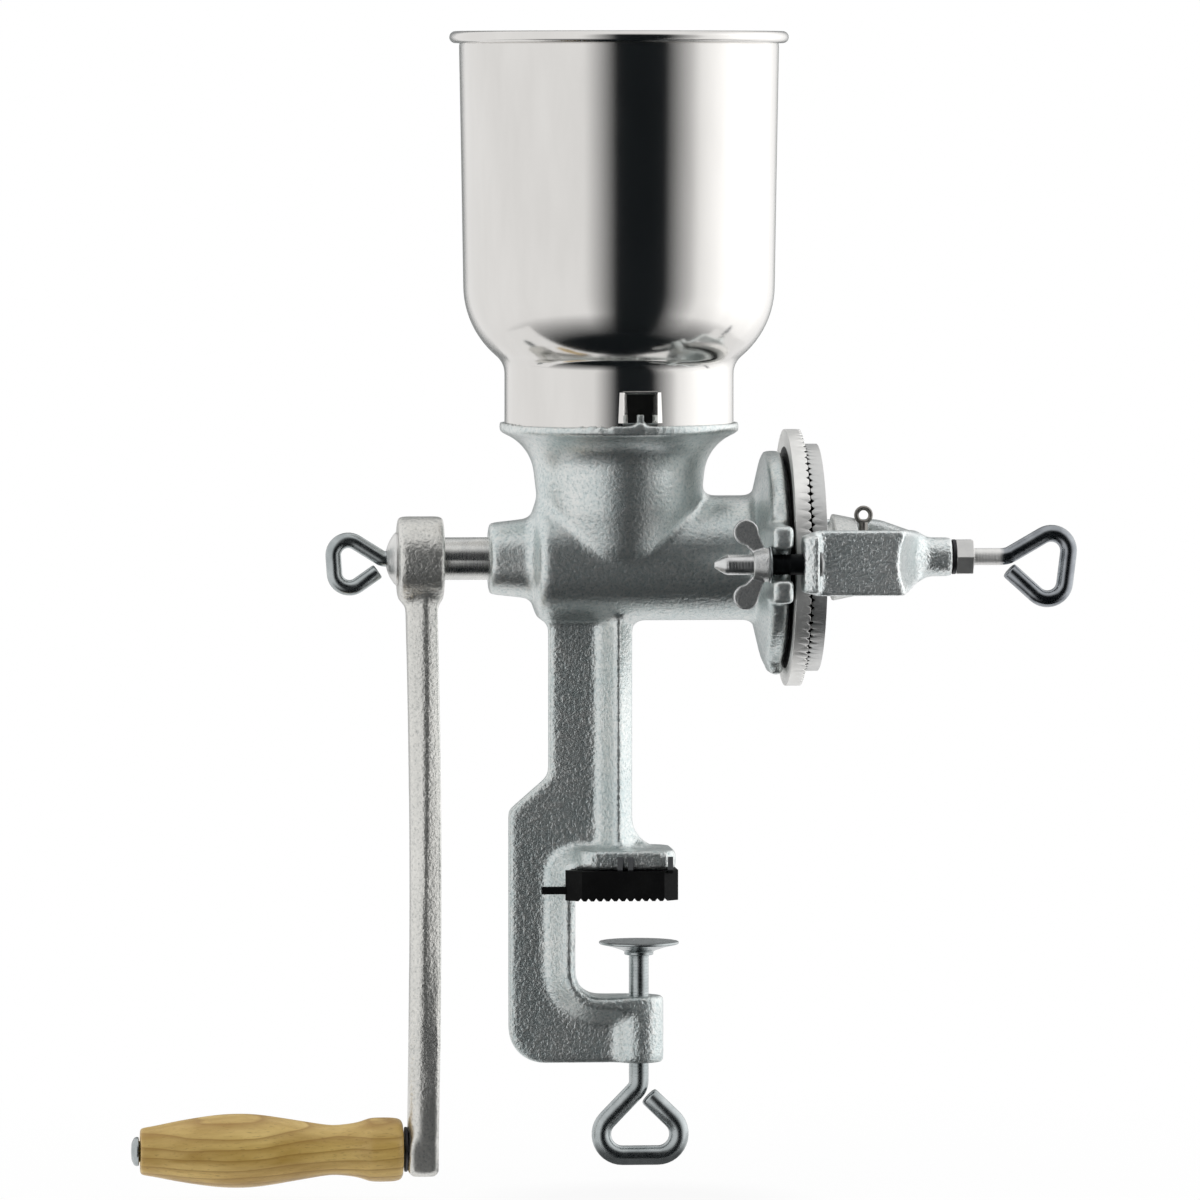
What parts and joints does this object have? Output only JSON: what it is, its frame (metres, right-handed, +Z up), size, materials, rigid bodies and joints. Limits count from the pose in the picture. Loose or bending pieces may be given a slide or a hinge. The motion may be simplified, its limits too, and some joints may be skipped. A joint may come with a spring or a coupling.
{
  "type": "hand grain mill",
  "caption": "Hand-cranked grain mill with a polished sheet hopper, grooved grinding plates, an adjusting screw, a wooden crank grip and a table clamp.",
  "frame": {"origin": "middle of the table pad's underside, where the mill rests on the table top", "axes": "+Z up along the hopper, +X along the shaft from the crank to the grinding plates, +Y away from the viewer of the picture"},
  "size_m": [0.3802, 0.1354, 0.4621],
  "materials": {
    "cast": "tinned sand casting",
    "plate": "tinned casting, ground edges",
    "zinc": "zinc plated",
    "sheet": "polished",
    "black_steel": "blackened",
    "rubber": "matte",
    "wood": "turned, clear lacquer"
  },
  "bodies": {
    "mill": {"mill_body": "cast", "table_pad": "rubber", "fixed_plate": "plate", "bridge": "cast", "front_bolt": "zinc", "rear_bolt": "zinc"},
    "hopper": {"hopper": "sheet"},
    "clamp_pad": {"clamp_pad": "zinc"},
    "clamp_screw": {"clamp_screw": "zinc"},
    "thrust_ball": {"thrust_ball": "sheet"},
    "rotor": {"auger": "cast", "turning_plate": "plate", "plate_driver": "cast", "cotter_pin": "black_steel", "crank_arm": "cast", "grip_pin": "zinc", "grip_washer": "black_steel"},
    "crank_washer": {"crank_washer": "zinc"},
    "crank_screw": {"crank_screw": "zinc"},
    "grip": {"grip": "wood"},
    "adjusting_screw": {"adjusting_screw": "zinc"},
    "lock_washer": {"lock_washer": "black_steel"},
    "lock_nut": {"lock_nut": "zinc"},
    "front_washer": {"front_washer": "zinc"},
    "front_wing_nut": {"front_wing_nut": "zinc"},
    "rear_washer": {"rear_washer": "zinc"},
    "rear_wing_nut": {"rear_wing_nut": "zinc"}
  },
  "joints": [
    {"name": "hopper_lift", "type": "slide", "parent": "mill", "child": "hopper", "axis": [0, 0, 1], "range_m": [0, 0.03]},
    {"name": "clamp_travel", "type": "slide", "parent": "mill", "child": "clamp_pad", "axis": [0, 0, 1], "range_m": [-0.014, 0.006]},
    {"name": "clamp_turn", "type": "hinge", "parent": "clamp_pad", "child": "clamp_screw", "pos_m": [0.008, 0, -0.06], "axis": [0, 0, 1], "range_deg": [-4040, 1736]},
    {"name": "grind_travel", "type": "slide", "parent": "mill", "child": "thrust_ball", "axis": [1, 0, 0], "range_m": [-0.0006, 0.003]},
    {"name": "adjust_turn", "type": "hinge", "parent": "thrust_ball", "child": "adjusting_screw", "pos_m": [0.15, 0, 0.136], "axis": [1, 0, 0], "range_deg": [-180, 870]},
    {"name": "crank_turn", "type": "hinge", "parent": "thrust_ball", "child": "rotor", "pos_m": [0, 0, 0.136], "axis": [1, 0, 0], "continuous": true},
    {"name": "grip_spin", "type": "hinge", "parent": "rotor", "child": "grip", "pos_m": [-0.14, 0, -0.1008], "axis": [1, 0, 0], "continuous": true},
    {"name": "crank_washer_travel", "type": "slide", "parent": "rotor", "child": "crank_washer", "axis": [-1, 0, 0], "range_m": [0, 0.0101]},
    {"name": "crank_screw_turn", "type": "hinge", "parent": "crank_washer", "child": "crank_screw", "pos_m": [-0.1, 0, 0.136], "axis": [-1, 0, 0], "range_deg": [0, 3640]},
    {"name": "lock_washer_travel", "type": "slide", "parent": "mill", "child": "lock_washer", "axis": [1, 0, 0], "range_m": [0, 0.0081]},
    {"name": "lock_nut_turn", "type": "hinge", "parent": "lock_washer", "child": "lock_nut", "pos_m": [0.139, 0, 0.136], "axis": [1, 0, 0], "range_deg": [0, 2340]},
    {"name": "front_washer_travel", "type": "slide", "parent": "mill", "child": "front_washer", "axis": [-1, 0, 0], "range_m": [0, 0.0101]},
    {"name": "front_nut_turn", "type": "hinge", "parent": "front_washer", "child": "front_wing_nut", "pos_m": [0.05, -0.0588, 0.136], "axis": [-1, 0, 0], "range_deg": [0, 2916]},
    {"name": "rear_washer_travel", "type": "slide", "parent": "mill", "child": "rear_washer", "axis": [-1, 0, 0], "range_m": [0, 0.0101]},
    {"name": "rear_nut_turn", "type": "hinge", "parent": "rear_washer", "child": "rear_wing_nut", "pos_m": [0.05, 0.0588, 0.136], "axis": [-1, 0, 0], "range_deg": [0, 2916]}
  ],
  "couplings": [
    {"joint": "clamp_turn", "follows": "clamp_travel", "rad_per_m": 5026.5},
    {"joint": "adjust_turn", "follows": "grind_travel", "rad_per_m": 5026.5},
    {"joint": "crank_screw_turn", "follows": "crank_washer_travel", "rad_per_m": 6283.2},
    {"joint": "lock_nut_turn", "follows": "lock_washer_travel", "rad_per_m": 5026.5},
    {"joint": "front_nut_turn", "follows": "front_washer_travel", "rad_per_m": 5026.5},
    {"joint": "rear_nut_turn", "follows": "rear_washer_travel", "rad_per_m": 5026.5}
  ]
}
